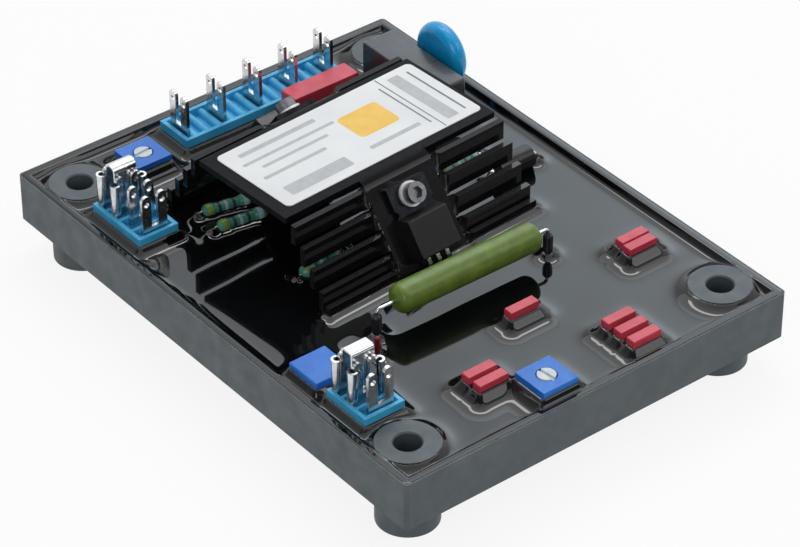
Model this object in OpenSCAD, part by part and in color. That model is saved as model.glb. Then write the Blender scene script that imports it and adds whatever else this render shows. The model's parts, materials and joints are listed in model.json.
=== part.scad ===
// Automatic voltage regulator: a potted circuit in a shallow moulded tray on four feet,
// with a louvred sheet heat sink, push-on terminal blocks, trimmers and leaded parts.
// X runs along the short front wall, Y towards the back, Z up from the soles of the feet.

/* [Tray] */
// Outside width of the tray
tray_x = 101; // [98:0.5:110]
// Outside length of the tray
tray_y = 135.4; // [132:0.2:150]
// Height of the tray from its underside to the rim
tray_h = 11.4; // [10.5:0.1:16]
// Thickness of the side walls at the rim
tray_wall = 2; // [1.4:0.1:2.6]
// Thickness of the floor
tray_floor = 2.2; // [1.4:0.1:2.6]
// Outside corner radius
tray_corner_r = 1; // [0.8:0.1:5]
// How far the feet stand below the tray
foot_h = 7.7; // [5:0.1:14]
// Diameter of the corner bosses and feet
boss_d = 13.5; // [11:0.1:14.5]
// Diameter of the mounting holes
hole_d = 5.8; // [4.2:0.1:7]
// Width of the chamfer round the mouth of each mounting hole
hole_chamfer = 0.3; // [0.2:0.1:1]
// Distance of a mounting hole from the side wall's outer face
hole_inset_x = 8.9; // [8.8:0.1:10]
// Distance of a mounting hole from the end wall's outer face
hole_inset_y = 10.7; // [10:0.1:12]
// Height of the posts that carry the circuit board
board_rest_h = 1.4; // [1:0.1:2.4]
// Diameter of the posts that carry the circuit board
board_rest_d = 6; // [4:0.5:8]
// Distance of those posts from the middle along X
board_rest_x = 20.8; // [18:0.1:24]
// Distance of those posts from the middle along Y
board_rest_y = 51.3; // [48:0.1:54]

/* [Board and potting] */
// Thickness of the circuit board
board_t = 1.6; // [1.2:0.1:2]
// Gap between the circuit board and the tray walls
board_gap = 1; // [0.5:0.1:1.6]
// Gap between the circuit board and the bosses
board_boss_gap = 1.2; // [0.6:0.1:2]
// Depth of the potting below the rim
pot_drop = 1.5; // [0.5:0.1:2.5]
// Clearance round every piece that is set in the potting
fit = 0.1; // [0.05:0.05:0.2]
// Length of the control chip on the board
chip_x = 19; // [8:0.5:20]
// Width of the control chip on the board
chip_y = 6.4; // [6:0.2:8]
// Height of the control chip
chip_h = 3.4; // [2:0.1:3.6]
// Where the chip lies along X
chip_at_x = 22; // [20:0.5:24]
// Where the chip lies along Y
chip_at_y = -32; // [-34:0.5:-31]

/* [Heat sink] */
// Width of the top plate
sink_x = 58.6; // [54:0.2:60]
// Depth of the top plate
sink_y = 29.9; // [26:0.1:32]
// How far the plate's edges beside the tongues are cut back from the bends
plate_back = 0.9; // [0.2:0.1:1.4]
// Height of the plate's upper face above the soles of the feet
sink_top = 36; // [34:0.5:40]
// Thickness of the sheet
sink_t = 1.4; // [1:0.1:1.6]
// Angle at which the sheet was potted, seen from above
sink_turn = 3.3; // [0:0.1:3.6]
// Slope of the two wings from the horizontal
wing_slope = 54.6; // [52:0.2:58]
// Inside radius of the bends between plate and tongues
bend_r = 2.5; // [1.5:0.1:3]
// Width of the tongue in the middle of each wing
tongue_w = 18.4; // [16:0.2:20]
// Length of the twisted root of a louvre
root_l = 2; // [1.5:0.1:3]
// Height of a louvre
slat_h = 4.5; // [3.8:0.1:4.8]
// Distance of the first louvre's middle from the top edge, measured down the wing
slat_first = 3.3; // [2.6:0.1:3.4]
// Number of free louvres on each side of a tongue
slat_n = 4; // [2:1:4]
// Step from the last free louvre down to the foot strip, measured down the wing
foot_strip_step = 3.3; // [3.2:0.1:4]
// Height of the foot strip's top edge above the potting
foot_strip_up = 2.5; // [1.8:0.1:3]
// Depth to which the foot strip is sunk in the potting
foot_strip_sink = 1.6; // [1:0.1:3]
// Depth to which the tongues are sunk in the potting
tongue_sink = 1.3; // [0.8:0.1:2.5]
// Where the middle of the plate lies along X
sink_at_x = -0.45; // [-2:0.05:0.4]
// Gap between the foot of the rear wing and the large film capacitor
sink_cap_gap = 0.7; // [0.3:0.1:3]
// Width of the label
label_x = 54.6; // [40:0.2:55]
// Depth of the label
label_y = 23.9; // [16:0.1:25]
// Thickness of the label
label_t = 0.2; // [0.1:0.05:0.4]
// Corner radius of the label
label_r = 1.3; // [0.5:0.1:3]
// Shift of the label from the middle of the plate along X
label_dx = 0.9; // [0:0.1:1.6]
// Shift of the label from the middle of the plate along Y
label_dy = 0.4; // [0:0.1:1]

/* [Power devices] */
// Width of a device
dev_w = 10.6; // [9.6:0.1:11]
// Length of the metal tab above the moulded body
dev_tab_l = 6.7; // [6:0.1:7]
// Thickness of the metal tab
dev_tab_t = 1.3; // [1:0.1:1.5]
// Length of the moulded body
dev_body_l = 10; // [9:0.1:10.4]
// Thickness of the moulded body
dev_body_t = 4.5; // [4:0.1:4.8]
// Distance of the fixing hole from the tab's top edge
dev_hole_at = 2.9; // [2.7:0.1:3.2]
// Diameter of the fixing hole in the tab
dev_hole_d = 3.7; // [3.6:0.1:3.9]
// Distance of the front device's top edge from the wing's top edge
front_dev_s = 3.6; // [3:0.1:4]
// Distance of the rear device's top edge from the wing's top edge
rear_dev_s = 2.4; // [2:0.1:3]
// Sideways shift of the devices on their tongues
dev_dx = -0.1; // [-1:0.1:1]
// Pitch of the device leads
dev_lead_pitch = 2.54; // [2.3:0.02:2.7]
// Width of a device lead
dev_lead_w = 0.9; // [0.6:0.1:1.2]
// Thickness of a device lead
dev_lead_t = 0.5; // [0.4:0.1:0.7]
// Shortest sloping length of the leads below the moulded body
dev_lead_min = 0.8; // [0.5:0.1:2]
// Distance of the notches in the tab's sides from the moulded body
dev_notch_at = 0.9; // [0.8:0.1:1.2]
// Diameter of the notches in the tab's sides
dev_notch_d = 1.4; // [1:0.1:1.6]
// Height of the step between the tab and the moulded body
dev_step_h = 0.2; // [0.1:0.05:0.4]
// Length of the slope at the upper end of the moulded body
dev_slope_l = 1; // [0.6:0.1:1.6]
// Length of the slope at the lower end of the moulded body
dev_end_l = 0.5; // [0.3:0.1:0.8]
// Length of the undercut at the lower end of the moulded body
dev_under_l = 0.2; // [0.1:0.05:0.4]
// Distance of the leads above the wing
dev_lead_n = 2.2; // [1.8:0.1:2.6]
// Gap between the upright part of the leads and the foot of the tongue
dev_lead_gap = 0.4; // [0.3:0.1:1]
// Diameter of the fixing screws
screw_d = 3; // [2.5:0.1:3.2]
// Diameter of the screw heads
screw_head_d = 4.6; // [4.2:0.1:5.4]
// Height of the screw heads
screw_head_h = 2.2; // [1.6:0.1:3]
// Width across the flats of the socket in a screw head
screw_socket_w = 2.4; // [1.5:0.1:2.5]
// Depth of the socket in a screw head
screw_socket_h = 1.2; // [0.6:0.1:1.4]
// Diameter of the washers
washer_d = 5.6; // [5.4:0.1:5.7]
// Thickness of the washers
washer_t = 0.6; // [0.4:0.1:1]
// How far a screw's end stands out of its nut
screw_out = 0.6; // [0.3:0.1:1.5]
// Width across the flats of the nuts
nut_w = 5.5; // [5:0.1:6]
// Thickness of the nuts
nut_t = 2.4; // [1.8:0.1:2.6]
// Clearance round a screw in its holes
screw_fit = 0.2; // [0.1:0.05:0.3]

/* [Terminal blocks] */
// Height of the rear block above the potting
block_h = 4; // [3:0.1:5]
// Height of the two side blocks above the potting
side_block_h = 3.6; // [3:0.1:5]
// Thickness of the rim round a block's top
block_rim = 1; // [0.8:0.1:1.2]
// Depth of the grooves in a block's top
groove_h = 1.8; // [1:0.1:2.6]
// Width of the rounded ribs in the rear block
rib_w = 1.9; // [1.6:0.1:2]
// Depth of those ribs below the rim of the rear block
rib_drop = 0.4; // [0.2:0.1:0.8]
// Number of ribs from one fork to the next in the rear block
ribs_per_pitch = 3; // [2:1:3]
// Thickness of the ribs between the rows of a side block
block_rib = 0.8; // [0.6:0.1:1.2]
// Width of a forked tab
fork_w = 6.3; // [5.6:0.1:6.6]
// Thickness of a forked tab
fork_t = 0.8; // [0.6:0.1:0.9]
// Width of each prong of a forked tab
prong_w = 2.3; // [2.2:0.1:2.6]
// Height of the prongs above the block
prong_h = 9; // [8:0.1:10]
// Diameter of the hole near a prong's tip
prong_hole_d = 1.3; // [1:0.1:1.5]
// Distance of that hole from the tip
prong_hole_at = 2; // [1.8:0.1:2.4]
// Height of the fork's root above the block
fork_root_h = 1; // [0.5:0.1:2]
// Clearance round a tab in its slot
slot_fit = 0.2; // [0.1:0.05:0.25]
// Length of the rear block
rear_block_x = 44; // [43.5:0.5:46]
// Depth of the rear block
rear_block_y = 10.2; // [8.8:0.1:10.4]
// Left end of the rear block
rear_block_left = -16.4; // [-17:0.1:-16]
// Gap between the rear block and the rear wall
rear_block_gap = 3.4; // [2.6:0.1:3.8]
// Pitch of the forks in the rear block
rear_pitch = 9.9; // [9.6:0.1:10]
// Number of forks in the rear block
rear_n = 5; // [3:1:5]
// Distance of the first fork from the left end of the rear block
rear_first = 1.9; // [1.8:0.1:2.2]
// Width of the two side blocks
side_block_x = 10.2; // [9.6:0.1:10.6]
// Gap between the side blocks and the left wall
side_block_gap = 2.9; // [2.4:0.1:3.4]
// Pitch of the forks in the side blocks
side_pitch = 4.7; // [4.5:0.1:4.9]
// Distance of the first fork from the end of a side block
side_first = 1.6; // [1.6:0.1:2]
// Number of forks in the left rear block
left_n = 4; // [4:1:4]
// Number of forks in the left front block
front_n = 3; // [3:1:3]
// Gap between the left rear block and the boss behind it
left_block_gap = 4.2; // [2.4:0.1:4.6]
// Gap between the left front block and the boss in front of it
front_block_gap = 1.8; // [1.5:0.1:3]

/* [Shorting links] */
// Thickness of the sheet of a link
link_t = 0.5; // [0.4:0.05:0.6]
// Outside diameter of the rolled edges
roll_d = 2.4; // [2.2:0.1:2.5]
// Shift of the rolled edges away from the link's sheet
roll_off = 0.25; // [0:0.05:0.3]
// Gap between a tab and the link's sheet
link_gap = 0.15; // [0.1:0.05:0.2]
// Length of the rolled edges
roll_l = 7.6; // [6.5:0.1:8]
// Width of the arch between the two rolled ends
arch_w = 5.6; // [4:0.1:6]
// Height of the arch above the rolled edges
arch_h = 3.4; // [2.8:0.1:4]
// Depth to which the arch's legs overlap the sheets
arch_leg = 1; // [0.6:0.1:2]
// Outside radius of the bends of the left link's arch
left_arch_r = 1.6; // [0.7:0.1:1.7]
// Outside radius of the bends of the front link's arch
front_arch_r = 0.9; // [0.7:0.1:1.7]

/* [Trimmers] */
// Side of a trimmer's square body
trim_w = 9; // [8.4:0.1:9.2]
// Height of the trimmers above the potting
trim_h = 4.4; // [3:0.1:6]
// Diameter of the rotor
rotor_d = 4; // [3:0.1:4.4]
// Height of the rotor above the body
rotor_up = 0.15; // [0.1:0.05:0.6]
// Depth of the rotor's seat in the body
rotor_seat = 1.6; // [1:0.1:2]
// Clearance round the rotor
rotor_gap = 0.3; // [0.2:0.05:0.4]
// Width of the screwdriver slot
rotor_slot_w = 0.8; // [0.5:0.1:1]
// Depth of the screwdriver slot
rotor_slot_h = 0.5; // [0.4:0.1:1]
// Angle of the rear rotor's slot
rear_slot_turn = 5; // [-90:1:90]
// Angle of the front rotor's slot
front_slot_turn = -84; // [-90:1:90]
// Where the front trimmer lies along X
front_trim_x = -8.8; // [-9.2:0.1:-6]
// Gap between the front trimmer and the front wall
front_trim_gap = 0.7; // [0.6:0.1:2]
// Gap between the rear trimmer and the rear block
rear_trim_gap = 5.8; // [3:0.1:6.2]
// Gap between the rear trimmer and the rear wall
rear_trim_wall = 7.1; // [5:0.1:7.6]
// Side of the sealed blue box
sealed_w = 9.2; // [8:0.1:9.4]
// Gap between the sealed blue box and the left front block
sealed_gap = 1.6; // [1.2:0.1:3]
// Gap between the sealed blue box and the left wall
sealed_wall = 1.7; // [1.2:0.1:3]

/* [Capacitors] */
// Length of the small film capacitors
film_x = 7.5; // [7:0.1:7.8]
// Thickness of the small film capacitors
film_y = 2.4; // [2:0.1:2.8]
// Height of the small film capacitors above the potting
film_h = 4.1; // [3:0.1:5]
// Where the right pair lies along X
right_pair_x = 36.4; // [34:0.1:40]
// Middle of the right pair along Y
right_pair_y = -36.4; // [-40:0.1:-34]
// Pitch of the right pair
right_pair_pitch = 2.9; // [2.85:0.05:4]
// Sideways step from one of the right pair to the other
right_pair_step = -0.4; // [-0.6:0.1:1]
// Where the row of three lies along X
row_x = 15.8; // [14:0.1:20]
// Gap between the row of three and the front wall
row_gap = 2.4; // [1:0.1:4]
// Pitch of the row of three
row_pitch = 3.9; // [3.2:0.1:4.4]
// Where the front pair lies along X
front_pair_x = -17.8; // [-22:0.1:-17.5]
// Gap between the front pair and the front wall
front_pair_gap = 10.6; // [10:0.1:12]
// Pitch of the front pair
front_pair_pitch = 3.6; // [3:0.1:4]
// Where the single film capacitor lies along X
single_x = 2.6; // [0:0.1:6]
// Where the single film capacitor lies along Y
single_y = -39.2; // [-42:0.1:-38]
// Length of the large film capacitor
large_x = 17.9; // [16:0.1:18.5]
// Thickness of the large film capacitor
large_y = 5.2; // [4.6:0.1:5.6]
// Height of the large film capacitor above the potting
large_h = 7.6; // [6:0.1:10]
// Where the large film capacitor lies along X
large_at_x = 17.6; // [16:0.1:18]
// Gap between the large film capacitor and the rear block
large_gap = 1; // [0.8:0.1:2]
// Width of the box capacitor
box_x = 8.7; // [8:0.1:9.2]
// Length of the box capacitor
box_y = 26; // [24:0.5:27]
// Height of the box capacitor above the potting
box_h = 12.1; // [10:0.1:13]
// Gap between the box capacitor and the boss behind it
box_boss_gap = 0.4; // [0.3:0.1:2]
// Gap between the box capacitor and the varistor
box_gap = 1.5; // [1:0.1:2]

/* [Varistor] */
// Diameter of the varistor disc
var_d = 15; // [13:0.1:16]
// Thickness of the varistor disc
var_t = 4.2; // [3.6:0.1:4.8]
// Gap between the varistor and the right wall
var_gap = 3.6; // [3:0.1:4]
// Where the varistor lies along Y
var_at_y = 36.7; // [34:0.1:38]
// Distance between the two coated legs
var_leg_pitch = 7.5; // [6:0.1:8]
// Distance of the front leg from the disc's front edge
var_leg_in = 0.6; // [0.5:0.1:1.5]
// Diameter of the coating on a leg
var_leg_d = 1.3; // [1.1:0.1:1.6]
// Height above the potting at which the coating on the front leg ends
var_leg_h = 1.2; // [0.8:0.1:2.4]
// Height of the disc above the potting
var_lift = 3.1; // [2:0.1:4]
// Height above the potting at which the coating on the rear leg ends
var_rear_leg_h = 0.2; // [0.1:0.05:0.3]

/* [Leaded parts] */
// Length of the wirewound resistor
wire_l = 37.6; // [34:0.2:38.4]
// Shift of the wirewound resistor along its legs' line
wire_off = 0.6; // [0:0.1:1.2]
// Diameter of the wirewound resistor
wire_d = 6.7; // [6:0.1:7.4]
// Radius of the rounded ends of the wirewound resistor
wire_round_r = 2; // [1:0.1:2.8]
// Distance between the two legs of the wirewound resistor
wire_span = 45.6; // [43.6:0.1:47]
// Height of the wirewound resistor's axis above the potting
wire_h = 6.9; // [6:0.1:9]
// Middle of the wirewound resistor along X
wire_x = -1.3; // [-3:0.1:0]
// Middle of the wirewound resistor along Y
wire_y = -25.1; // [-27:0.1:-25]
// Angle of the wirewound resistor, seen from above
wire_turn = -0.4; // [-3:0.1:1]
// Diameter of the wirewound resistor's legs
wire_leg_d = 0.8; // [0.7:0.05:1]
// Diameter of the coated lower part of those legs
wire_coat_d = 2.2; // [1.8:0.1:2.6]
// Length of the coated part above the potting
wire_coat_h = 5.8; // [4:0.1:5.8]
// Clearance of that coating round the leg
coat_fit = 0.1; // [0.05:0.05:0.2]
// Diameter of the red sleeved lead end beside the left leg
sleeve_d = 1.2; // [1:0.05:1.6]
// Height of the red sleeved lead end above the potting
sleeve_h = 5.4; // [3:0.1:6]
// Where the red sleeved lead end stands along X
sleeve_x = -28.4; // [-30:0.1:-27]
// Where the red sleeved lead end stands along Y
sleeve_y = -30.6; // [-32:0.1:-29]
// Length of an axial resistor
axial_l = 11.3; // [9:0.1:11.4]
// Diameter of an axial resistor's ends
axial_d = 2.9; // [2.6:0.1:3.4]
// Length of an axial resistor's end caps
axial_cap_l = 2.2; // [1.6:0.1:3]
// Length of the slopes on an axial resistor's ends and caps
axial_slope = 0.6; // [0.4:0.1:0.8]
// Depth to which the axial resistors are sunk in the potting
axial_sink = 0.6; // [0.2:0.1:1]
// Diameter of an axial resistor's waist
axial_waist = 2.4; // [2:0.1:2.5]
// Distance between the legs of an axial resistor
axial_span = 14; // [13.8:0.1:15]
// Diameter of the legs of the axial parts
axial_leg_d = 0.7; // [0.5:0.05:0.9]
// Bend radius of the legs of the axial parts
leg_bend = 1; // [0.8:0.1:1.2]
// Length of the power diode
diode_l = 9.2; // [8:0.1:9.6]
// Diameter of the power diode
diode_d = 5.2; // [4.6:0.1:5.6]
// Distance between the legs of the power diode
diode_span = 13; // [12.6:0.1:14]
// Middle of the power diode along X
diode_x = 35.2; // [35:0.1:39]
// Middle of the power diode along Y
diode_y = 2.8; // [1:0.1:6]
// Diameter of the power diode's legs
diode_leg_d = 1.2; // [1:0.05:1.3]

/* [Hidden] */
$fn = 64;

// Levels above the soles of the feet
rim_z = foot_h + tray_h;
floor_z = foot_h + tray_floor;
board_z0 = floor_z + board_rest_h;
board_z = board_z0 + board_t;
pot_z = rim_z - pot_drop;
block_z = pot_z + block_h;
side_z = pot_z + side_block_h;
trim_z = pot_z + trim_h;
film_z = pot_z + film_h;

// Inside of the tray and the places of the bosses
in_x = tray_x - 2 * tray_wall;
in_y = tray_y - 2 * tray_wall;
in_r = max(tray_corner_r - tray_wall, 0.2);
hole_x = tray_x / 2 - hole_inset_x;
hole_y = tray_y / 2 - hole_inset_y;
boss_at = [for (sx = [-1, 1]) for (sy = [-1, 1]) [sx * hole_x, sy * hole_y]];
rest_at = [for (sx = [-1, 1]) for (sy = [-1, 1]) [sx * board_rest_x, sy * board_rest_y]];

// Places of the pieces along the walls
rear_block_cy = in_y / 2 - rear_block_gap - rear_block_y / 2;
rear_block_cx = rear_block_left + rear_block_x / 2;
side_block_cx = -in_x / 2 + side_block_gap + side_block_x / 2;
left_block_y = 2 * side_first + (left_n - 1) * side_pitch;
front_block_y = 2 * side_first + (front_n - 1) * side_pitch;
left_block_cy = hole_y - boss_d / 2 - left_block_gap - left_block_y / 2;
front_block_cy = -hole_y + boss_d / 2 + front_block_gap + front_block_y / 2;
sealed_cx = -in_x / 2 + sealed_wall + sealed_w / 2;
sealed_cy = front_block_cy + front_block_y / 2 + sealed_gap + sealed_w / 2;
front_trim_y = -in_y / 2 + front_trim_gap + trim_w / 2;
rear_trim_x = rear_block_left - rear_trim_gap - trim_w / 2;
rear_trim_y = in_y / 2 - rear_trim_wall - trim_w / 2;
large_cy = rear_block_cy - rear_block_y / 2 - large_gap - large_y / 2;
var_cx = in_x / 2 - var_gap - var_t / 2;
var_cz = pot_z + var_lift + var_d / 2;
var_leg_y = var_at_y - var_d / 2 + var_leg_in;
var_legs = [[var_leg_y, var_leg_h], [var_leg_y + var_leg_pitch, var_rear_leg_h]];
box_cx = var_cx - var_t / 2 - box_gap - box_x / 2;
box_cy = hole_y - boss_d / 2 - box_boss_gap - box_y / 2;
rear_fork_x = [for (i = [0 : rear_n - 1]) rear_block_left + rear_first + i * rear_pitch];
left_fork_y = [for (i = [0 : left_n - 1]) left_block_cy + left_block_y / 2 - side_first - i * side_pitch];
front_fork_y = [for (i = [0 : front_n - 1]) front_block_cy + front_block_y / 2 - side_first - i * side_pitch];
row_at = [for (i = [0 : 2]) [row_x, -in_y / 2 + row_gap + film_y / 2 + i * row_pitch]];
front_pair_at = [for (i = [0 : 1]) [front_pair_x, -in_y / 2 + front_pair_gap + film_y / 2 + i * front_pair_pitch]];
right_pair_at = [for (i = [-0.5, 0.5]) [right_pair_x - i * right_pair_step, right_pair_y + i * right_pair_pitch]];

// Wings of the heat sink: distances s are measured down the slope from the plate's edge
bend_out = bend_r + sink_t;
wing_s0 = bend_out * tan(wing_slope / 2);
wing_s1 = (sink_top - pot_z + tongue_sink - sink_t * cos(wing_slope)) / sin(wing_slope);
slat_l = sink_x / 2 - tongue_w / 2 - root_l;
strip_h = foot_strip_up + foot_strip_sink;
strip_z = pot_z + foot_strip_up - strip_h / 2;
strip_s = (sink_top - strip_z - sink_t / 2 * cos(wing_slope)) / sin(wing_slope);
slat_pitch = (strip_s - foot_strip_step - slat_first) / (slat_n - 1);
slat_s = [for (i = [0 : slat_n - 1]) slat_first + i * slat_pitch];
foot_reach = wing_s1 * cos(wing_slope);
strip_reach = strip_s * cos(wing_slope) + sink_t;
skew = sin(sink_turn) * (large_at_x + large_x / 2);
sink_at_y = large_cy - large_y / 2 - sink_cap_gap - skew - strip_reach - sink_y / 2;

// Axial parts: middle, angle, in the order left pair, left under the wing, right under the wing
axial_at = [[-21.3, 30.9, -11], [-22, 24.6, -8], [-18.3, 1.7, 9], [27.2, 11.5, 3]];
axial_z = pot_z + axial_d / 2 - axial_sink;

black_plastic = [0.2, 0.22, 0.24];
tin = [0.8, 0.8, 0.8];
film_red = [0.78, 0.3, 0.36];
block_blue = [0.24, 0.6, 0.8];
trim_blue = [0.28, 0.46, 0.8];

// Upright box round a middle point, grown by g on all sides
module brick(x, y, z0, z1, sx, sy, g = 0) {
  translate([x - sx / 2 - g, y - sy / 2 - g, z0 - g])
    cube([sx + 2 * g, sy + 2 * g, z1 - z0 + 2 * g]);
}

// Upright round post, grown by g
module post(x, y, z0, z1, d, g = 0) {
  translate([x, y, z0 - g])
    cylinder(d = d + 2 * g, h = z1 - z0 + 2 * g);
}

// Upright prism with rounded corners
module slab(sx, sy, z0, z1, r) {
  translate([-sx / 2 + r, -sy / 2, z0])
    cube([sx - 2 * r, sy, z1 - z0]);
  translate([-sx / 2, -sy / 2 + r, z0])
    cube([sx, sy - 2 * r, z1 - z0]);
  for (x = [-1, 1])
    for (y = [-1, 1])
      post(x * (sx / 2 - r), y * (sy / 2 - r), z0, z1, 2 * r);
}

module tray() {
  color(black_plastic)
    difference() {
      union() {
        difference() {
          slab(tray_x, tray_y, foot_h, rim_z, tray_corner_r);
          slab(in_x, in_y, floor_z, rim_z + 1, in_r);
        }
        for (p = boss_at)
          post(p[0], p[1], 0, rim_z, boss_d);
        for (p = rest_at)
          post(p[0], p[1], floor_z - 0.5, board_z0, board_rest_d);
      }
      for (p = boss_at) {
        post(p[0], p[1], -1, rim_z + 1, hole_d);
        translate([p[0], p[1], rim_z - hole_chamfer])
          cylinder(d1 = hole_d, d2 = hole_d + 2 * hole_chamfer + 0.02, h = hole_chamfer + 0.01);
      }
    }
}

// The board's outline, grown by g and cut clear of the bosses
module board_shape(g) {
  difference() {
    brick(0, 0, board_z0, board_z, in_x - 2 * board_gap, in_y - 2 * board_gap, g);
    for (p = boss_at) {
      post(p[0], p[1], board_z0 - 1, board_z + 1, boss_d + 2 * board_boss_gap - 2 * g);
      translate([p[0], p[1], board_z0 - 1])
        mirror([p[0] < 0 ? 1 : 0, 0, 0])
          mirror([0, p[1] < 0 ? 1 : 0, 0])
            translate([-boss_d / 2 - board_boss_gap + g, 0, 0])
              cube([boss_d + hole_inset_x, boss_d + hole_inset_y, board_t + 2]);
    }
  }
}

module circuit_board() {
  color([0.1, 0.35, 0.2])
    board_shape(0);
}

module control_chip() {
  color([0.15, 0.15, 0.16])
    brick(chip_at_x, chip_at_y, board_z, board_z + chip_h, chip_x, chip_y);
}

// Everything that the potting flows round, grown by the clearance g
module sunk_pieces(g) {
  for (p = boss_at)
    post(p[0], p[1], floor_z, rim_z, boss_d, g);
  for (p = rest_at)
    post(p[0], p[1], floor_z, board_z0, board_rest_d, g);
  board_shape(g);
  brick(chip_at_x, chip_at_y, board_z, board_z + chip_h, chip_x, chip_y, g);
  rear_block_shape(g);
  side_block_shape(left_block_cy, left_block_y, g);
  side_block_shape(front_block_cy, front_block_y, g);
  trimmer_shape(rear_trim_x, rear_trim_y, trim_w, g);
  trimmer_shape(front_trim_x, front_trim_y, trim_w, g);
  trimmer_shape(sealed_cx, sealed_cy, sealed_w, g);
  film_shapes(right_pair_at, g);
  film_shapes(row_at, g);
  film_shapes(front_pair_at, g);
  film_shapes([[single_x, single_y]], g);
  large_shape(g);
  box_shape(g);
  for (l = var_legs)
    post(var_cx, l[0], board_z, rim_z, axial_leg_d, g);
  wire_frame() {
    for (x = [-1, 1])
      post(x * wire_span / 2, 0, board_z, rim_z, wire_coat_d, g);
  }
  post(sleeve_x, sleeve_y, board_z, rim_z, sleeve_d, g);
  for (a = axial_at)
    axial_frame(a) {
      for (x = [-1, 1])
        post(x * axial_span / 2, 0, board_z, rim_z, axial_leg_d, g);
      translate([-axial_l / 2 - g, 0, axial_z])
        rotate([0, 90, 0])
          cylinder(d = axial_d + 2 * g, h = axial_l + 2 * g);
    }
  for (x = [-1, 1])
    post(diode_x + x * diode_span / 2, diode_y, board_z, rim_z, diode_leg_d, g);
  sink_frame()
    for (m = [0, 1])
      mirror([0, m, 0]) {
        tongue_shape(g);
        strip_shapes(g);
        body_space(m == 0 ? front_dev_s : rear_dev_s, g);
        for (x = [-1, 0, 1])
          lead_post(m == 0 ? front_dev_s : rear_dev_s, x, g);
      }
}

module potting() {
  color([0.12, 0.13, 0.14])
    difference() {
      slab(in_x - 2 * fit, in_y - 2 * fit, floor_z, pot_z, in_r);
      sunk_pieces(fit);
    }
}

// Frame of the heat sink: middle of the plate, turned as it was potted
module sink_frame() {
  translate([sink_at_x, sink_at_y, 0])
    rotate([0, 0, sink_turn])
      children();
}

// Frame of the front wing: -Y runs down the slope, Z stands out of the sheet
module wing_frame() {
  translate([0, -sink_y / 2, sink_top])
    rotate([wing_slope, 0, 0])
      children();
}

module tongue_shape(g = 0) {
  wing_frame()
    translate([-tongue_w / 2 - g, -wing_s1 - g, -sink_t - g])
      cube([tongue_w + 2 * g, wing_s1 - wing_s0 + 2 * g, sink_t + 2 * g]);
}

// Middle of a strip of the wing, s down the slope, in the frame of the heat sink
function strip_y(s) = -sink_y / 2 - s * cos(wing_slope) + sink_t / 2 * sin(wing_slope);
function strip_mid_z(s) = sink_top - s * sin(wing_slope) - sink_t / 2 * cos(wing_slope);

// The upright foot strips at the bottom of a wing, with room for their roots when grown
module strip_shapes(g) {
  for (m = [0, 1])
    mirror([m, 0, 0]) {
      translate([tongue_w / 2 + root_l - g, strip_y(strip_s) - sink_t / 2 - g, strip_z - strip_h / 2 - g])
        cube([slat_l + 2 * g, sink_t + 2 * g, strip_h + 2 * g]);
      if (g > 0)
        translate([tongue_w / 2 - g, strip_y(strip_s) - strip_h / 2, strip_z - strip_h / 2 - g])
          cube([root_l + 2 * g, strip_h, strip_h]);
    }
}

// One louvre: a strip of the wing twisted upright at its root, on the +X side
module slat(s, h) {
  translate([tongue_w / 2, strip_y(s), strip_mid_z(s)]) {
    translate([root_l, -sink_t / 2, -h / 2])
      cube([slat_l, sink_t, h]);
    rotate([90, 0, 90])
      linear_extrude(height = root_l, twist = wing_slope - 90, slices = 4, $fn = 8)
        rotate(wing_slope - 90)
          square([sink_t, h], center = true);
  }
}

// Front wing: bend, tongue with its fixing hole, louvres and foot strips
module wing(dev_s) {
  translate([-tongue_w / 2, -sink_y / 2 + wing_s0, sink_top - bend_out])
    rotate([90, 0, 90])
      rotate([0, 0, 90])
        rotate_extrude(angle = wing_slope)
          translate([bend_r, 0])
            square([sink_t, tongue_w]);
  difference() {
    tongue_shape();
    wing_frame()
      translate([dev_dx, -dev_s - dev_hole_at, -sink_t - 1])
        cylinder(d = screw_d + 2 * screw_fit, h = sink_t + 2);
  }
  for (m = [0, 1])
    mirror([m, 0, 0]) {
      for (s = slat_s)
        slat(s, slat_h);
      slat(strip_s, strip_h);
    }
}

module heat_sink() {
  color([0.1, 0.1, 0.11])
    sink_frame() {
      difference() {
        brick(0, 0, sink_top - sink_t, sink_top, sink_x, sink_y - 2 * plate_back);
        for (m = [0, 1])
          mirror([0, m, 0])
            translate([-tongue_w / 2, -sink_y / 2 - 1, sink_top - sink_t - 1])
              cube([tongue_w, wing_s0 + 1, sink_t + 2]);
      }
      wing(front_dev_s);
      mirror([0, 1, 0])
        wing(rear_dev_s);
    }
}

module label() {
  color([0.93, 0.93, 0.92])
    sink_frame()
      translate([label_dx, label_dy, 0])
        slab(label_x, label_y, sink_top, sink_top + label_t, label_r);
}

// Frame of a power device: origin at the tab's top edge, -Y down the slope
module device_frame(dev_s) {
  wing_frame()
    translate([dev_dx, -dev_s, 0])
      children();
}

module device_tab(dev_s) {
  device_frame(dev_s)
    difference() {
      translate([-dev_w / 2, -dev_tab_l, 0])
        cube([dev_w, dev_tab_l, dev_tab_t]);
      translate([0, -dev_hole_at, -1])
        cylinder(d = dev_hole_d, h = dev_tab_t + 2);
      for (x = [-1, 1])
        translate([x * dev_w / 2, -dev_tab_l + dev_notch_at, -1])
          cylinder(d = dev_notch_d, h = dev_tab_t + 2);
    }
}

module device_body(dev_s) {
  device_frame(dev_s)
    rotate([90, 0, 90])
      translate([0, 0, -dev_w / 2])
        linear_extrude(dev_w)
          polygon([
            [-dev_tab_l, 0],
            [-dev_tab_l, dev_tab_t + dev_step_h],
            [-dev_tab_l - dev_slope_l, dev_body_t],
            [-dev_tab_l - dev_body_l + dev_end_l, dev_body_t],
            [-dev_tab_l - dev_body_l, dev_lead_n],
            [-dev_tab_l - dev_body_l, dev_lead_n - dev_lead_t],
            [-dev_tab_l - dev_body_l + dev_under_l, 0]
          ]);
}

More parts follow.
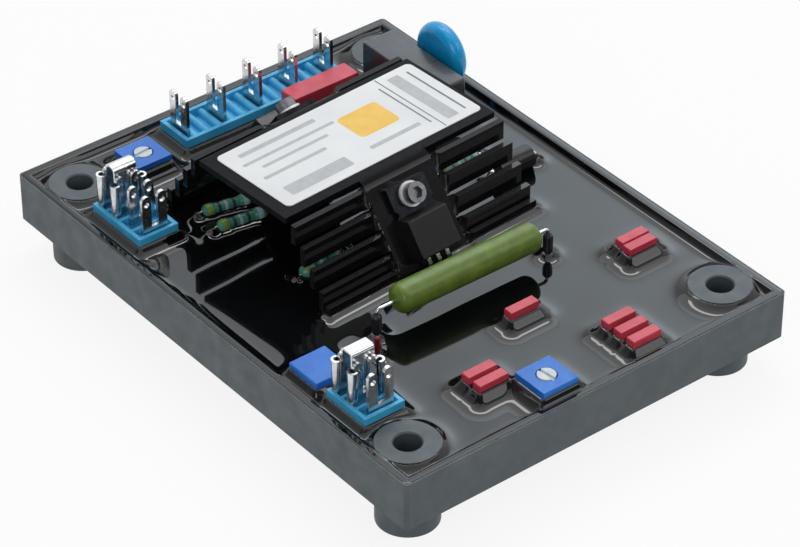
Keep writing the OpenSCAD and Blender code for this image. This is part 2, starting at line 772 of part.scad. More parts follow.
// Where the leads turn down, s down the slope: clear of the tongue's foot and of the body
foot_s = (foot_reach + dev_lead_gap + dev_lead_t - dev_lead_n * sin(wing_slope)) / cos(wing_slope);
function lead_s(dev_s) = max(foot_s, dev_s + dev_tab_l + dev_body_l + dev_lead_min);
function lead_y(dev_s) = -sink_y / 2 - lead_s(dev_s) * cos(wing_slope) - dev_lead_n * sin(wing_slope);
function lead_z(dev_s) = sink_top - lead_s(dev_s) * sin(wing_slope) + dev_lead_n * cos(wing_slope);

// The upright part of one lead, grown by g
module lead_post(dev_s, i, g = 0) {
  brick(dev_dx + i * dev_lead_pitch, lead_y(dev_s) + dev_lead_t / 2, board_z, lead_z(dev_s),
        dev_lead_w, dev_lead_t, g);
}

// The space of a device's moulded body, grown by g
module body_space(dev_s, g) {
  device_frame(dev_s)
    translate([-dev_w / 2 - g, -dev_tab_l - dev_body_l - g, -g])
      cube([dev_w + 2 * g, dev_body_l + 2 * g, dev_body_t + 2 * g]);
}

module device_leads(dev_s) {
  l = lead_s(dev_s) - dev_s - dev_tab_l - dev_body_l;
  for (i = [-1, 0, 1]) {
    device_frame(dev_s)
      translate([i * dev_lead_pitch - dev_lead_w / 2, -dev_tab_l - dev_body_l - l, dev_lead_n - dev_lead_t])
        cube([dev_lead_w, l, dev_lead_t]);
    lead_post(dev_s, i);
  }
}

module front_device_tab() {
  color([0.16, 0.16, 0.17])
    sink_frame()
      device_tab(front_dev_s);
}

module front_device_body() {
  color([0.12, 0.12, 0.13])
    sink_frame()
      device_body(front_dev_s);
}

module front_device_leads() {
  color(tin)
    sink_frame()
      device_leads(front_dev_s);
}

module rear_device_tab() {
  color([0.55, 0.56, 0.57])
    sink_frame()
      mirror([0, 1, 0])
        device_tab(rear_dev_s);
}

module rear_device_body() {
  color([0.12, 0.12, 0.13])
    sink_frame()
      mirror([0, 1, 0])
        device_body(rear_dev_s);
}

module rear_device_leads() {
  color(tin)
    sink_frame()
      mirror([0, 1, 0])
        device_leads(rear_dev_s);
}

// Places a fastener on each of the two tongues, with its axis along Z out of the sheet
module at_both_screws() {
  sink_frame()
    for (m = [0, 1])
      mirror([0, m, 0])
        device_frame(m == 0 ? front_dev_s : rear_dev_s)
          translate([0, -dev_hole_at, 0])
            children();
}

module device_screws() {
  color(tin)
    at_both_screws()
      difference() {
        union() {
          translate([0, 0, -sink_t - nut_t - screw_out])
            cylinder(d = screw_d, h = sink_t + nut_t + screw_out + dev_tab_t + washer_t + 0.1);
          translate([0, 0, dev_tab_t + washer_t])
            cylinder(d = screw_head_d, h = screw_head_h);
        }
        translate([0, 0, dev_tab_t + washer_t + screw_head_h - screw_socket_h])
          cylinder(d = screw_socket_w / cos(30), h = screw_socket_h + 1, $fn = 6);
      }
}

module device_washers() {
  color(tin)
    at_both_screws()
      translate([0, 0, dev_tab_t])
        difference() {
          cylinder(d = washer_d, h = washer_t);
          translate([0, 0, -1])
            cylinder(d = screw_d + 2 * screw_fit, h = washer_t + 2);
        }
}

module device_nuts() {
  color(tin)
    at_both_screws()
      translate([0, 0, -sink_t - nut_t])
        difference() {
          cylinder(d = nut_w / cos(30), h = nut_t, $fn = 6);
          translate([0, 0, -1])
            cylinder(d = screw_d + 2 * screw_fit, h = nut_t + 2);
        }
}

// A forked tab: width along X, thickness along Y, from the board up through a block with its top at z
module fork(z) {
  difference() {
    union() {
      brick(0, 0, board_z, z + fork_root_h, fork_w, fork_t);
      for (m = [-1, 1])
        translate([m * (fork_w - prong_w) / 2, 0, 0]) {
          brick(0, 0, z, z + prong_h - prong_w / 2, prong_w, fork_t);
          translate([0, fork_t / 2, z + prong_h - prong_w / 2])
            rotate([90, 0, 0])
              cylinder(d = prong_w, h = fork_t);
        }
    }
    for (m = [-1, 1])
      translate([m * (fork_w - prong_w) / 2, fork_t, z + prong_h - prong_hole_at])
        rotate([90, 0, 0])
          cylinder(d = prong_hole_d, h = 2 * fork_t);
  }
}

// The slot that takes a fork, right through a block
module fork_slot() {
  brick(0, 0, board_z - 1, block_z + 1, fork_w + 2 * slot_fit, fork_t + 2 * slot_fit);
}

module rear_block_shape(g = 0) {
  brick(rear_block_cx, rear_block_cy, board_z, block_z, rear_block_x, rear_block_y, g);
}

module side_block_shape(cy, sy, g = 0) {
  brick(side_block_cx, cy, board_z, side_z, side_block_x, sy, g);
}

// One rounded rib across the rear block, with its ends in the rim
module rear_rib(x) {
  rib_l = rear_block_y - block_rim;
  axis_z = block_z - rib_drop - rib_w / 2;
  brick(x, rear_block_cy, block_z - groove_h - block_rim / 2, axis_z, rib_w, rib_l);
  translate([x, rear_block_cy + rib_l / 2, axis_z])
    rotate([90, 0, 0])
      cylinder(d = rib_w, h = rib_l);
}

// A rimmed block with a well in its top, ribs across the well and a slot for each fork
module rear_terminal_block() {
  step = rear_pitch / ribs_per_pitch;
  last = floor((rear_block_x - block_rim - rib_w / 2 - rear_first) / step - 0.5);
  color(block_blue)
    difference() {
      union() {
        difference() {
          rear_block_shape();
          brick(rear_block_cx, rear_block_cy, block_z - groove_h, block_z + 1,
                rear_block_x - 2 * block_rim, rear_block_y - 2 * block_rim);
        }
        for (i = [0 : last])
          rear_rib(rear_block_left + rear_first + (i + 0.5) * step);
      }
      for (x = rear_fork_x)
        translate([x, rear_block_cy, 0])
          rotate([0, 0, 90])
            fork_slot();
    }
}

module rear_terminal_tabs() {
  color(tin)
    for (x = rear_fork_x)
      translate([x, rear_block_cy, 0])
        rotate([0, 0, 90])
          fork(block_z);
}

// A block with its forks across it: a recess for each row, with ribs between the rows
module side_block(cy, sy, rows) {
  recess_l = side_block_x - 2 * block_rim;
  low = cy - sy / 2 + block_rim;
  high = cy + sy / 2 - block_rim;
  difference() {
    side_block_shape(cy, sy);
    for (y = rows) {
      y0 = max(low, y - (side_pitch - block_rib) / 2);
      y1 = min(high, y + (side_pitch - block_rib) / 2);
      brick(side_block_cx, (y0 + y1) / 2, side_z - groove_h, side_z + 1, recess_l, y1 - y0);
      translate([side_block_cx, y, 0])
        fork_slot();
    }
  }
}

module left_terminal_block() {
  color(block_blue)
    side_block(left_block_cy, left_block_y, left_fork_y);
}

module left_terminal_tabs() {
  color(tin)
    for (y = left_fork_y)
      translate([side_block_cx, y, 0])
        fork(side_z);
}

module front_terminal_block() {
  color(block_blue)
    side_block(front_block_cy, front_block_y, front_fork_y);
}

module front_terminal_tabs() {
  color(tin)
    for (y = front_fork_y)
      translate([side_block_cx, y, 0])
        fork(side_z);
}

// One end of a link: a sheet behind the fork with both edges rolled round the fork's edges
module receptacle() {
  sheet_y = -fork_t / 2 - link_gap - link_t;
  roll_x = fork_w / 2 + link_gap;
  difference() {
    union() {
      translate([-roll_x, sheet_y, 0])
        cube([2 * roll_x, link_t, roll_l]);
      for (m = [-1, 1])
        translate([m * roll_x, roll_off, 0])
          cylinder(d = roll_d, h = roll_l);
    }
    for (m = [-1, 1])
      translate([m * roll_x, roll_off, -1])
        cylinder(d = roll_d - 2 * link_t, h = roll_l + 2);
    translate([-roll_x, -fork_t / 2 - link_gap, -1])
      cube([2 * roll_x, fork_t + 2 * link_gap, roll_l + 2]);
    translate([-roll_x + link_t, fork_t / 2, -1])
      cube([2 * roll_x - 2 * link_t, roll_d, roll_l + 2]);
  }
}

// Outline of an arch: straight sides and a flat top with rounded corners
module arch_outline(w, h, r) {
  translate([-w / 2, 0])
    square([w, h - r]);
  translate([-w / 2 + r, 0])
    square([w - 2 * r, h]);
  for (m = [-1, 1])
    translate([m * (w / 2 - r), h - r])
      circle(r);
}

// A shorting link over two neighbouring forks, the first one at y0
module link(y0, r) {
  y1 = y0 - side_pitch;
  gap = side_pitch - fork_t - 2 * link_gap - 2 * link_t;
  translate([side_block_cx, y0, side_z])
    receptacle();
  translate([side_block_cx, y1, side_z])
    mirror([0, 1, 0])
      receptacle();
  translate([side_block_cx - arch_w / 2, (y0 + y1) / 2, side_z + roll_l - arch_leg])
    rotate([90, 0, 90])
      linear_extrude(arch_w)
        difference() {
          arch_outline(gap + 2 * link_t, arch_h + arch_leg, r);
          translate([0, -1])
            arch_outline(gap, arch_h + arch_leg - link_t + 1, r - link_t);
        }
}

module left_link() {
  color(tin)
    link(left_fork_y[0], left_arch_r);
}

module front_link() {
  color(tin)
    link(front_fork_y[0], front_arch_r);
}

module trimmer_shape(x, y, w, g = 0) {
  brick(x, y, board_z, trim_z, w, w, g);
}

module trimmer_body(x, y) {
  difference() {
    trimmer_shape(x, y, trim_w);
    post(x, y, trim_z - rotor_seat, trim_z + 1, rotor_d + 2 * rotor_gap);
  }
}

module rotor(x, y, turn) {
  difference() {
    post(x, y, trim_z - rotor_seat, trim_z + rotor_up, rotor_d);
    translate([x, y, trim_z + rotor_up - rotor_slot_h])
      rotate([0, 0, turn])
        translate([-rotor_d, -rotor_slot_w / 2, 0])
          cube([2 * rotor_d, rotor_slot_w, rotor_slot_h + 1]);
  }
}

module rear_trimmer_body() {
  color(trim_blue)
    trimmer_body(rear_trim_x, rear_trim_y);
}

module rear_trimmer_rotor() {
  color([0.9, 0.92, 0.9])
    rotor(rear_trim_x, rear_trim_y, rear_slot_turn);
}

module front_trimmer_body() {
  color(trim_blue)
    trimmer_body(front_trim_x, front_trim_y);
}

module front_trimmer_rotor() {
  color([0.9, 0.92, 0.9])
    rotor(front_trim_x, front_trim_y, front_slot_turn);
}

module sealed_blue_box() {
  color(trim_blue)
    trimmer_shape(sealed_cx, sealed_cy, sealed_w);
}

// Frame of the wirewound resistor: its middle, turned, at floor level
module wire_frame() {
  translate([wire_x, wire_y, 0])
    rotate([0, 0, wire_turn])
      children();
}

// Frame of an axial part: its middle, turned, at floor level
module axial_frame(a) {
  translate([a[0], a[1], 0])
    rotate([0, 0, a[2]])
      children();
}

// A pair of bent legs: straight out of a body, round a bend and down to the board; off shifts the body
module bent_legs(body_l, span, z, d, bend, off = 0) {
  for (m = [0, 1])
    mirror([m, 0, 0]) {
      start = body_l / 2 + (m == 0 ? off : -off);
      translate([start, 0, z])
        rotate([0, 90, 0])
          cylinder(d = d, h = span / 2 - bend - start);
      translate([span / 2 - bend, 0, z - bend])
        rotate([90, 0, 0])
          rotate_extrude(angle = 90)
            translate([bend, 0])
              circle(d = d);
      post(span / 2, 0, board_z, z - bend, d);
    }
}

module wirewound_body() {
  round_r = wire_round_r;
  profile = concat(
    [[0, -wire_l / 2]],
    [for (a = [0 : 15 : 90]) [wire_d / 2 - round_r + round_r * sin(a), -wire_l / 2 + round_r - round_r * cos(a)]],
    [for (a = [0 : 15 : 90]) [wire_d / 2 - round_r + round_r * cos(a), wire_l / 2 - round_r + round_r * sin(a)]],
    [[0, wire_l / 2]]
  );
  color([0.35, 0.5, 0.18])
    wire_frame()
      translate([wire_off, 0, pot_z + wire_h])
        rotate([0, 90, 0])
          rotate_extrude()
            polygon(profile);
}

module wirewound_leads() {
  color(tin)
    wire_frame()
      bent_legs(wire_l, wire_span, pot_z + wire_h, wire_leg_d, leg_bend, wire_off);
}

// A post on the board with a domed top at height h above the potting
module domed_post(x, y, h, d) {
  post(x, y, board_z, pot_z + h - d / 2, d);
  translate([x, y, pot_z + h - d / 2])
    sphere(d = d);
}

module lead_coats() {
  color([0.12, 0.12, 0.14])
    wire_frame()
      for (x = [-1, 1])
        difference() {
          domed_post(x * wire_span / 2, 0, wire_coat_h, wire_coat_d);
          post(x * wire_span / 2, 0, board_z - 1, pot_z + wire_coat_h + 1, wire_leg_d + 2 * coat_fit);
        }
}

module lead_sleeve() {
  color([0.6, 0.08, 0.12])
    domed_post(sleeve_x, sleeve_y, sleeve_h, sleeve_d);
}

module film_shapes(places, g = 0) {
  for (p = places)
    brick(p[0], p[1], board_z, film_z, film_x, film_y, g);
}

module large_shape(g = 0) {
  brick(large_at_x, large_cy, board_z, pot_z + large_h, large_x, large_y, g);
}

module box_shape(g = 0) {
  brick(box_cx, box_cy, board_z, pot_z + box_h, box_x, box_y, g);
}

module large_film_capacitor() {
  color(film_red)
    large_shape();
}

module right_film_pair() {
  color(film_red)
    film_shapes(right_pair_at);
}

module film_row_of_three() {
  color(film_red)
    film_shapes(row_at);
}

module front_film_pair() {
  color(film_red)
    film_shapes(front_pair_at);
}

module single_film_capacitor() {
  color(film_red)
    film_shapes([[single_x, single_y]]);
}

module box_capacitor() {
  color([0.3, 0.31, 0.33])
    box_shape();
}

module varistor_disc() {
  color([0.12, 0.5, 0.82]) {
    translate([var_cx, var_at_y, var_cz])
      rotate([0, 90, 0])
        rotate_extrude() {
          translate([0, -var_t / 2])
            square([var_d / 2 - var_t / 2, var_t]);
          translate([var_d / 2 - var_t / 2, 0])
            intersection() {
              circle(d = var_t);
              translate([0, -var_t])
                square(2 * var_t);
            }
        }
    for (l = var_legs)
      post(var_cx, l[0], pot_z + l[1], var_cz, var_leg_d);
  }
}

module varistor_leads() {
  color(tin)
    for (l = var_legs)
      post(var_cx, l[0], board_z, pot_z + l[1], axial_leg_d);
}

// One axial resistor: a waisted body with rounded end caps, along X
module axial_body() {
  cap = axial_cap_l;
  round_r = axial_slope;
  half = axial_l / 2;
  end = axial_d / 2;
  rotate([0, 90, 0])
    rotate_extrude()
      polygon([
        [0, -half],
        [end - round_r, -half],
        [end, -half + round_r],
        [end, -half + cap],
        [axial_waist / 2, -half + cap + round_r],
        [axial_waist / 2, half - cap - round_r],
        [end, half - cap],
        [end, half - round_r],
        [end - round_r, half],
        [0, half]
      ]);
}

module axial_resistor_bodies() {
  color([0.45, 0.62, 0.5])
    for (a = axial_at)
      axial_frame(a)
        translate([0, 0, axial_z])
          axial_body();
}

module axial_resistor_leads() {
  color(tin)
    for (a = axial_at)
      axial_frame(a)
        bent_legs(axial_l, axial_span, axial_z, axial_leg_d, leg_bend);
}

module diode_body() {
  color([0.16, 0.16, 0.17])
    translate([diode_x - diode_l / 2, diode_y, pot_z + diode_d / 2])
      rotate([0, 90, 0])
        cylinder(d = diode_d, h = diode_l);
}

module diode_leads() {
  color(tin)
    translate([diode_x, diode_y, 0])
      bent_legs(diode_l, diode_span, pot_z + diode_d / 2, diode_leg_d, leg_bend);
}

tray();
circuit_board();
control_chip();
potting();
heat_sink();
label();
front_device_tab();
front_device_body();
front_device_leads();
rear_device_tab();
rear_device_body();
rear_device_leads();
device_screws();
device_washers();
device_nuts();
rear_terminal_block();
rear_terminal_tabs();
left_terminal_block();
left_terminal_tabs();
left_link();
front_terminal_block();
front_terminal_tabs();
front_link();
rear_trimmer_body();
rear_trimmer_rotor();
front_trimmer_body();
front_trimmer_rotor();
sealed_blue_box();
wirewound_body();
wirewound_leads();
lead_coats();
lead_sleeve();
large_film_capacitor();
right_film_pair();
film_row_of_three();
front_film_pair();
single_film_capacitor();
box_capacitor();
varistor_disc();
varistor_leads();
axial_resistor_bodies();
axial_resistor_leads();
diode_body();
diode_leads();
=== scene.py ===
import json
import math

import bmesh
import bpy
import numpy as np
from mathutils import Matrix, Vector
from mathutils.kdtree import KDTree


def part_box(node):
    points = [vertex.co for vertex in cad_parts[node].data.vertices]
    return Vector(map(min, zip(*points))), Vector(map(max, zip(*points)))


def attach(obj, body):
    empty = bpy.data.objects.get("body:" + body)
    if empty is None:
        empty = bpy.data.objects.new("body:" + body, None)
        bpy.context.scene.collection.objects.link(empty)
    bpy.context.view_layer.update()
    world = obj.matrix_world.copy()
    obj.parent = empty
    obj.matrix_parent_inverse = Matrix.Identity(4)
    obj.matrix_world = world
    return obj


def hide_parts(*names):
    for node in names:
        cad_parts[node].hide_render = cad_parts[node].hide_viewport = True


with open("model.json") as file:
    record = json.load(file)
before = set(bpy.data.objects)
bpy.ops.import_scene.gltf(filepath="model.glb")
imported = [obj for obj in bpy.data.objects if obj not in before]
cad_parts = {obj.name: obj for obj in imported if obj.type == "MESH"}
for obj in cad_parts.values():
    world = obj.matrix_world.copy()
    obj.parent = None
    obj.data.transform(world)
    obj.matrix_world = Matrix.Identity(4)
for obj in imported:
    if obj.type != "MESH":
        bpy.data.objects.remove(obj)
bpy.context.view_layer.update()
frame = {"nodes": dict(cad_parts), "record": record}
nodes = frame["nodes"]
MM = 0.001
BODY = "regulator"

# Groups of nodes that are dressed alike.
BLOCKS = ["rear_terminal_block", "left_terminal_block", "front_terminal_block"]
TRIMMER_BODIES = ["rear_trimmer_body", "front_trimmer_body"]
SMALL_FILMS = ["right_film_pair", "film_row_of_three", "front_film_pair", "single_film_capacitor"]
FILMS = ["large_film_capacitor"] + SMALL_FILMS
DEVICE_BODIES = ["front_device_body", "rear_device_body"]


# Node helpers.
def wire(tree, node, values=None, links=None):
    """Sets input sockets of a node to values, or links them to the outputs given."""
    for socket, value in (values or {}).items():
        node.inputs[socket].default_value = value
    for socket, source in (links or {}).items():
        tree.links.new(source, node.inputs[socket])
    return node


def put(tree, kind, values=None, links=None, operation=None):
    """A new node, with its operation and its input sockets set."""
    node = tree.nodes.new(kind)
    if operation:
        node.operation = operation
    return wire(tree, node, values, links)


def seen_by_eye(tree):
    """An output that is 1 for rays from the camera, reflected or let through, and 0 for light."""
    path = put(tree, "ShaderNodeLightPath").outputs
    seen = put(tree, "ShaderNodeMath", operation="MAXIMUM",
               links={0: path["Is Camera Ray"], 1: path["Is Glossy Ray"]})
    seen = put(tree, "ShaderNodeMath", operation="MAXIMUM",
               links={0: seen.outputs[0], 1: path["Is Transmission Ray"]})
    return seen.outputs[0]


# Materials.
NOISE_LOW, NOISE_HIGH = 0.3, 0.7  # the part of a noise that is stretched over a full range
COLOUR_DETAIL, FINE_DETAIL = 4.0, 3.0
ROUGH_SCALE = 2.3  # the roughness varies this much more finely than the colour
BUMP_DISTANCE = 0.0001


def lin(r, g, b):
    """An sRGB colour, 0 to 255, as linear RGBA."""
    out = []
    for v in (r, g, b):
        v /= 255.0
        out.append(v / 12.92 if v <= 0.04045 else ((v + 0.055) / 1.055) ** 2.4)
    return (*out, 1.0)


def material(name, dark, light, scale, rough, metal=0.0, bump=(900.0, 0.1), coat=0.0,
             coat_rough=0.05, spec=0.5):
    """A procedural material: mottled colour, uneven roughness and a fine bump."""
    m = bpy.data.materials.new(name)
    m.use_nodes = True
    t = m.node_tree
    coords = put(t, "ShaderNodeTexCoord").outputs["Object"]

    def noise(noise_scale, detail):
        return put(t, "ShaderNodeTexNoise", {"Scale": noise_scale, "Detail": detail},
                   {"Vector": coords}).outputs["Fac"]

    mottle = put(t, "ShaderNodeValToRGB", links={"Fac": noise(scale, COLOUR_DETAIL)})
    low, high = mottle.color_ramp.elements
    low.position, low.color = NOISE_LOW, dark
    high.position, high.color = NOISE_HIGH, light
    uneven = put(t, "ShaderNodeMapRange",
                 {"From Min": NOISE_LOW, "From Max": NOISE_HIGH, "To Min": rough[0], "To Max": rough[1]},
                 {"Value": noise(scale * ROUGH_SCALE, FINE_DETAIL)})
    bump_scale, strength = bump
    relief = put(t, "ShaderNodeBump", {"Strength": strength, "Distance": BUMP_DISTANCE},
                 {"Height": noise(bump_scale, FINE_DETAIL)})
    wire(t, t.nodes["Principled BSDF"],
         {"Metallic": metal, "Specular IOR Level": spec, "Coat Weight": coat,
          "Coat Roughness": coat_rough},
         {"Base Color": mottle.outputs["Color"], "Roughness": uneven.outputs["Result"],
          "Normal": relief.outputs["Normal"]})
    return m


def varnish(m, z0, z1, weight):
    """Gloss coat on the part of a material that lies below the height z0, gone at z1, in mm."""
    t = m.node_tree
    xyz = put(t, "ShaderNodeSeparateXYZ",
              links={"Vector": put(t, "ShaderNodeTexCoord").outputs["Object"]})
    fade = put(t, "ShaderNodeMapRange",
               {"From Min": z0 * MM, "From Max": z1 * MM, "To Min": weight, "To Max": 0.0},
               {"Value": xyz.outputs["Z"]})
    wire(t, t.nodes["Principled BSDF"], links={"Coat Weight": fade.outputs["Result"]})


M = {
    "tray": material("tray_plastic", lin(66, 75, 80), lin(78, 87, 91), 140, (0.42, 0.58),
                     bump=(2600, 0.35)),
    "board": material("board_laminate", lin(20, 60, 34), lin(28, 74, 42), 300, (0.35, 0.5)),
    "potting": material("potting_resin", lin(9, 10, 11), lin(14, 15, 17), 60, (0.025, 0.055),
                        bump=(120, 0.06)),
    "sink": material("sink_black", lin(12, 12, 14), lin(20, 20, 23), 420, (0.36, 0.5),
                     bump=(2200, 0.18), spec=0.06),
    "label": material("label_film", lin(226, 228, 229), lin(236, 237, 237), 90, (0.35, 0.5),
                      bump=(1500, 0.06)),
    "device": material("device_epoxy", lin(12, 12, 14), lin(20, 20, 23), 700, (0.35, 0.5),
                       bump=(3000, 0.3), coat=0.25, coat_rough=0.12, spec=0.3),
    "tab": material("device_tab", lin(24, 25, 28), lin(46, 48, 52), 300, (0.2, 0.35),
                    metal=0.9, bump=(1500, 0.2)),
    "tin": material("bright_tin", lin(196, 198, 200), lin(222, 223, 224), 500, (0.14, 0.28),
                    metal=1.0, bump=(1400, 0.12)),
    "screw": material("screw_steel", lin(118, 118, 123), lin(146, 146, 151), 800, (0.34, 0.48),
                      metal=1.0, bump=(2500, 0.3)),
    # Washer: steel, lightened to near white and made only half metal, so its colour carries a painted
    # sheen in place of a reflection.
    "washer": material("washer_steel", lin(225, 226, 228), lin(242, 242, 243), 700, (0.4, 0.54),
                       metal=0.45, bump=(2500, 0.25)),
    "block": material("block_blue", lin(58, 164, 214), lin(76, 182, 230), 260, (0.3, 0.42),
                      bump=(1800, 0.15)),
    "trimmer": material("trimmer_blue", lin(26, 104, 200), lin(40, 120, 214), 240, (0.36, 0.5),
                        bump=(1800, 0.15)),
    "rotor": material("rotor_white", lin(204, 213, 218), lin(222, 227, 229), 500, (0.4, 0.55),
                      bump=(2500, 0.2)),
    "green": material("resistor_green", lin(78, 103, 24), lin(103, 128, 38), 330, (0.34, 0.46),
                      bump=(900, 0.3), coat=0.06, coat_rough=0.15),
    "coated": material("coated_lead", lin(30, 30, 34), lin(46, 46, 52), 600, (0.15, 0.3),
                       bump=(900, 0.4)),
    "sleeve": material("sleeve_red", lin(120, 16, 28), lin(150, 26, 38), 700, (0.3, 0.4)),
    "film": material("film_red", lin(194, 56, 74), lin(212, 74, 92), 260, (0.3, 0.42),
                     bump=(1600, 0.15)),
    "box": material("box_grey", lin(44, 46, 50), lin(56, 59, 64), 200, (0.24, 0.38),
                    bump=(900, 0.3), coat=0.12),
    "varistor": material("varistor_blue", lin(8, 150, 216), lin(18, 168, 230), 220, (0.2, 0.32),
                         bump=(500, 0.35)),
    "axial": material("axial_green", lin(60, 128, 106), lin(82, 150, 126), 500, (0.25, 0.4),
                      bump=(1500, 0.15)),
    "ink_dark": material("print_grey", lin(92, 95, 100), lin(112, 115, 120), 700, (0.4, 0.5)),
    "ink_light": material("print_pale_grey", lin(176, 179, 183), lin(190, 193, 196), 700, (0.4, 0.5)),
    "ink_yellow": material("print_yellow", lin(240, 190, 70), lin(246, 202, 92), 300, (0.4, 0.5)),
    "band_dark": material("band_dark", lin(40, 44, 60), lin(58, 62, 80), 900, (0.3, 0.4)),
    "band_pale": material("band_pale", lin(140, 170, 186), lin(164, 190, 202), 900, (0.3, 0.4)),
    "band_olive": material("band_olive", lin(120, 138, 58), lin(142, 156, 74), 900, (0.3, 0.4)),
}
# The sheet's sides are varnished, and the plate on top is not.
varnish(M["sink"], 34.0, 35.5, 0.8)

MATERIAL_NODES = {
    "tray": ["tray"],
    "board": ["circuit_board"],
    "potting": ["potting"],
    "sink": ["heat_sink"],
    "label": ["label"],
    "device": ["control_chip", "diode_body"] + DEVICE_BODIES,
    "tab": ["front_device_tab", "rear_device_tab"],
    "tin": ["front_device_leads", "rear_device_leads", "rear_terminal_tabs", "left_terminal_tabs",
            "left_link", "front_terminal_tabs", "front_link", "wirewound_leads", "varistor_leads",
            "axial_resistor_leads", "diode_leads"],
    "screw": ["device_screws", "device_nuts"],
    "washer": ["device_washers"],
    "block": BLOCKS,
    "trimmer": TRIMMER_BODIES + ["sealed_blue_box"],
    "rotor": ["rear_trimmer_rotor", "front_trimmer_rotor"],
    "green": ["wirewound_body"],
    "coated": ["lead_coats"],
    "sleeve": ["lead_sleeve"],
    "film": FILMS,
    "box": ["box_capacitor"],
    "varistor": ["varistor_disc"],
    "axial": ["axial_resistor_bodies"],
}
for key, names in MATERIAL_NODES.items():
    for name in names:
        for s in nodes[name].material_slots:
            s.link = "OBJECT"
            s.material = M[key]


# Rounded edges on the moulded and stamped pieces.
WELD_DISTANCE = 2e-6
EDGE_SEGMENTS = 2
EDGE_ANGLE = math.radians(40)


def soften(name, width):
    """Bevels a node's sharp edges, width in mm."""
    o = nodes[name]
    weld = o.modifiers.new("weld", "WELD")
    weld.merge_threshold = WELD_DISTANCE
    b = o.modifiers.new("edge", "BEVEL")
    b.width = width * MM
    b.segments = EDGE_SEGMENTS
    b.limit_method = "ANGLE"
    b.angle_limit = EDGE_ANGLE
    b.use_clamp_overlap = True
    if name in TRIMMER_BODIES:
        b.harden_normals = True
        return
    n = o.modifiers.new("normals", "WEIGHTED_NORMAL")
    n.keep_sharp = False


for names, width in [(["tray"], 0.45), (BLOCKS, 0.2), (TRIMMER_BODIES, 0.25), (["sealed_blue_box"], 0.3),
                     (["large_film_capacitor"], 0.4), (SMALL_FILMS, 0.25), (["box_capacitor"], 0.6),
                     (DEVICE_BODIES, 0.2), (["diode_body"], 0.4), (["heat_sink"], 0.22)]:
    for name in names:
        soften(name, width)


# Potting: a cast surface that climbs every piece set in it.
pot_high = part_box("potting")[1]
pot_top = pot_high.z
tray_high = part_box("tray")[1]
holes = next(m for m in frame["record"]["mounts"] if m["name"] == "mounting_holes")
hx, hy = holes["dims"]["spacing_x_mm"] / 2, holes["dims"]["spacing_y_mm"] / 2
BOSSES = [Vector((sx * hx * MM, sy * hy * MM, 0)) for sx in (-1, 1) for sy in (-1, 1)]
BOSS_R = 6.75 * MM
BOSS_OPENING = 6.0 * MM  # the surface ends inside the boss, this far from its axis
CORNER = 1.0 * MM  # radius of the tray's upright corners
CORNER_GAP = 0.08 * MM
RIM_EDGE = 0.5 * MM  # radius at which the film rolls over the rim's outer edge
FILM = 0.05 * MM  # thickness of the film on the rim
SKIRT = 2 * MM  # the surface's border hangs this far below its level
SECTION_STEP = 0.15 * MM
SECTION_LIFT = 0.03 * MM
# Grid lines in mm: the usual step, and the closer ones at the inner wall and at the rim.
GRID_STEP, GRID_MARGIN = 0.5, 1.5
BEFORE_WALL = (1.25, 1.0, 0.75, 0.5, 0.25, 0.05)
BEYOND_WALL = (0.05, 0.5, 1.0)
BEFORE_EDGE = (0.5, 0.25, 0.08)
# How high the resin climbs, and how far out it reaches, in mm.
WALL_CREEP = (1.45, 0.65)
BOSS_CREEP = (1.35, 1.5)
CREEP_POWER = 1.2
BLEND = 3  # power at which neighbouring menisci are added
CREEP = [
    (BLOCKS, 2.0, 1.5),
    (TRIMMER_BODIES + ["sealed_blue_box"], 3.2, 1.5),
    (FILMS + ["box_capacitor"], 2.6, 1.5),
    (["heat_sink"], 1.0, 1.3),
    (["lead_coats", "lead_sleeve", "varistor_leads", "axial_resistor_leads", "diode_leads",
      "front_device_leads", "rear_device_leads"], 1.3, 1.1),
    (["axial_resistor_bodies"], 0.5, 0.9),
]


def triangles(name):
    """A node's triangles, as an array of corner points."""
    me = nodes[name].data
    me.calc_loop_triangles()
    co = np.zeros(len(me.vertices) * 3)
    me.vertices.foreach_get("co", co)
    ix = np.zeros(len(me.loop_triangles) * 3, dtype=np.int32)
    me.loop_triangles.foreach_get("vertices", ix)
    return co.reshape(-1, 3)[ix].reshape(-1, 3, 3)


def section(name, z):
    """Points along the outline of a node's cut at height z."""
    out = []
    for t in triangles(name):
        if t[:, 2].min() > z or t[:, 2].max() < z:
            continue
        hit = []
        for i in range(3):
            a, b = t[i], t[(i + 1) % 3]
            if (a[2] - z) * (b[2] - z) < 0:
                f = (z - a[2]) / (b[2] - a[2])
                hit.append(a + f * (b - a))
        if len(hit) == 2:
            n = max(1, int(np.linalg.norm(hit[1] - hit[0]) / SECTION_STEP))
            for k in range(n + 1):
                out.append(hit[0] + (hit[1] - hit[0]) * k / n)
    return out


def outline_tree(group):
    """A search tree of the outlines of a group of nodes where they leave the resin."""
    pts = []
    for name in group:
        pts += section(name, pot_top + SECTION_LIFT)
    tree = KDTree(len(pts))
    for i, p in enumerate(pts):
        tree.insert((p[0], p[1], 0.0), i)
    tree.balance()
    return tree


trees = [(outline_tree(group), height, reach) for group, height, reach in CREEP]


def lines(outer, inner):
    """Grid lines across the tray, closer together at its inner wall and at its rim's edge."""
    core = inner - GRID_MARGIN * MM
    n = int(round(2 * core / (GRID_STEP * MM)))
    mid = [core * (2 * i / n - 1) for i in range(n + 1)]
    side = [inner - e * MM for e in BEFORE_WALL]
    side += [inner + e * MM for e in BEYOND_WALL] + [outer - e * MM for e in BEFORE_EDGE]
    return [-v for v in reversed(side)] + mid + side


def climb(d, height, reach):
    """Height of the meniscus at the distance d from a wall."""
    return height * MM * math.exp(-((max(d, 0.0) / (reach * MM)) ** CREEP_POWER))


